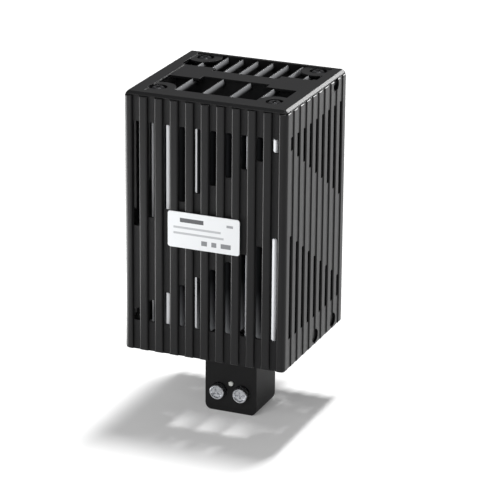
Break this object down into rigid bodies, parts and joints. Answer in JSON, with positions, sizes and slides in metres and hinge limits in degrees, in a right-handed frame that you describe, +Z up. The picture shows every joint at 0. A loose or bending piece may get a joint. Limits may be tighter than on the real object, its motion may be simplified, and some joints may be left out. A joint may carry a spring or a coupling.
{
  "type": "enclosure heater",
  "caption": "Touch-safe convection heater for a control cabinet: slotted ribbed cage, open grille covers, terminal block below and a clip for a 35 mm rail.",
  "frame": {"origin": "middle of the terminal block's flat underside, which the heater stands on", "axes": "+X to the right and +Y away from the labelled front, +Z up along the cage"},
  "size_m": [0.08, 0.0841, 0.1641],
  "materials": {
    "black_moulded_plastic": "satin moulded",
    "black_terminal_plastic": "fine matt moulded",
    "extruded_aluminium": "as extruded",
    "zinc_plated_steel": "bright zinc plated",
    "black_oxide_steel": "black oxide",
    "tinned_brass": "tinned",
    "grey_ptc_ceramic": "sintered, matt",
    "amber_film": "thin amber film",
    "milky_lens": "milky, glossy",
    "white_label": "satin film",
    "white_silicone": "silicone sleeve"
  },
  "bodies": {
    "root": {"cage": "black_moulded_plastic", "top_cover": "black_moulded_plastic", "bottom_cover": "black_moulded_plastic", "rail_clip": "black_moulded_plastic", "terminal_housing": "black_terminal_plastic", "heat_sink": "extruded_aluminium", "left_terminal_screw": "zinc_plated_steel", "right_terminal_screw": "zinc_plated_steel", "left_wire_clamp": "zinc_plated_steel", "right_wire_clamp": "zinc_plated_steel", "lower_clip_screw": "zinc_plated_steel", "upper_clip_screw": "zinc_plated_steel", "lower_clip_nut": "zinc_plated_steel", "upper_clip_nut": "zinc_plated_steel", "top_screw_front_left": "black_oxide_steel", "top_screw_front_right": "black_oxide_steel", "top_screw_back_left": "black_oxide_steel", "top_screw_back_right": "black_oxide_steel", "bottom_screw_front_left": "black_oxide_steel", "bottom_screw_front_right": "black_oxide_steel", "bottom_screw_back_left": "black_oxide_steel", "bottom_screw_back_right": "black_oxide_steel", "front_electrode": "tinned_brass", "back_electrode": "tinned_brass", "left_contact_bar": "tinned_brass", "right_contact_bar": "tinned_brass", "lower_ptc_stone": "grey_ptc_ceramic", "middle_ptc_stone": "grey_ptc_ceramic", "upper_ptc_stone": "grey_ptc_ceramic", "insulating_sleeve": "amber_film", "indicator_lens": "milky_lens", "indicator_lamp": "milky_lens", "rating_label": "white_label", "left_lead": "white_silicone", "right_lead": "white_silicone"}
  },
  "joints": []
}
